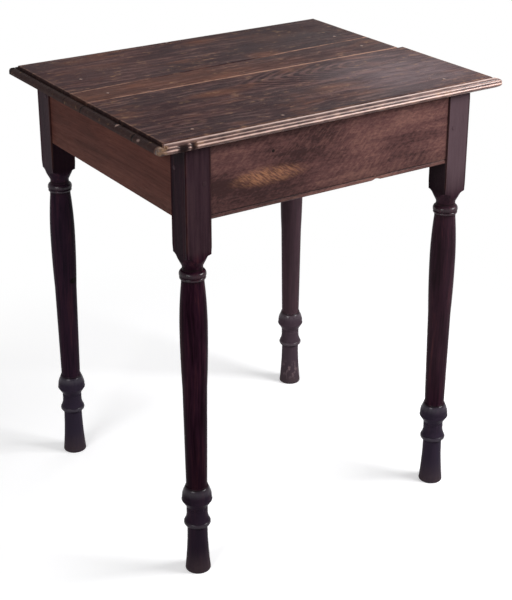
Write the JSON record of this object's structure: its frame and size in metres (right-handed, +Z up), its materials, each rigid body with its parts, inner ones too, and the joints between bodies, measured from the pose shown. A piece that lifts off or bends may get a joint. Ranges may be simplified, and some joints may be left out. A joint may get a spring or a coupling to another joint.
{
  "type": "tavern table",
  "caption": "Small oak tavern table: moulded board top on a pegged apron frame with turned baluster legs.",
  "frame": {"origin": "on the floor, under the middle of the top", "axes": "+Z up, X along the table, -Y towards the front, the side with the beaded rail"},
  "size_m": [0.606, 0.485, 0.7054],
  "materials": {
    "top_oak": "aged, waxed, worn along the edges",
    "leg_oak": "very dark, polished",
    "rail_oak": "aged red brown, waxed",
    "peg_oak": "dark, end grain"
  },
  "bodies": {
    "root": {"top_front_board": "top_oak", "top_middle_strip": "top_oak", "top_back_board": "top_oak", "leg_front_left": "leg_oak", "leg_front_right": "leg_oak", "leg_back_left": "leg_oak", "leg_back_right": "leg_oak", "rail_front": "rail_oak", "rail_back": "rail_oak", "rail_left": "rail_oak", "rail_right": "rail_oak", "peg_front_rail_left": "peg_oak", "peg_front_rail_right": "peg_oak", "peg_back_rail_left": "peg_oak", "peg_back_rail_right": "peg_oak", "peg_left_rail_front": "peg_oak", "peg_left_rail_back": "peg_oak", "peg_right_rail_front": "peg_oak", "peg_right_rail_back": "peg_oak", "pin_front_board_left_leg": "peg_oak", "pin_front_board_rail": "peg_oak", "pin_front_board_right_leg": "peg_oak", "pin_middle_strip_left": "peg_oak", "pin_middle_strip_right": "peg_oak", "pin_back_board_left": "peg_oak", "pin_back_board_right": "peg_oak", "pin_back_board_rail": "peg_oak"}
  },
  "joints": []
}
